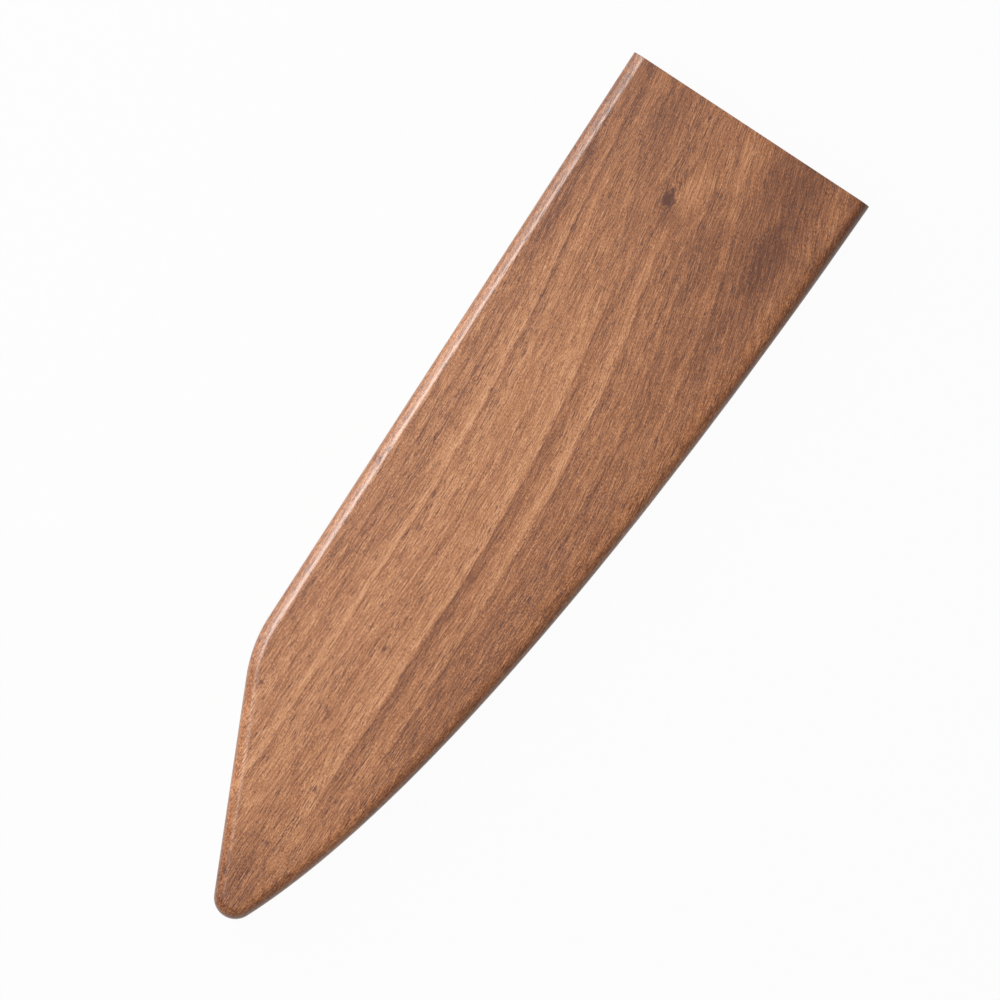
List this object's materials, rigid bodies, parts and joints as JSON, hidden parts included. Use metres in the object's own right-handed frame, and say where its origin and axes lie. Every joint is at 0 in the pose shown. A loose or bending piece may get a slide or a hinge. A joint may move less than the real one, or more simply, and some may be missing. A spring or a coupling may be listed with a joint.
{
  "type": "knife blade guard",
  "caption": "Slip-on walnut guard for a chef's knife with a clipped tip: glued shells round a felt-lined blade slot, held on the blade by magnets.",
  "frame": {"origin": "middle of the back face, on which the guard lies", "axes": "+X out of the mouth, the way the blade leaves; +Y towards the spine; +Z out of the front face"},
  "size_m": [0.22, 0.0654, 0.016],
  "materials": {
    "walnut": "satin oiled walnut with open pores and darker grain bands",
    "felt": "matte pressed wool felt",
    "magnet": "satin nickel plate"
  },
  "bodies": {
    "root": {"front_shell": "walnut", "back_shell": "walnut", "front_lining": "felt", "back_lining": "felt", "front_magnet_heel": "magnet", "front_magnet_middle": "magnet", "front_magnet_toe": "magnet", "back_magnet_heel": "magnet", "back_magnet_middle": "magnet", "back_magnet_toe": "magnet"}
  },
  "joints": []
}
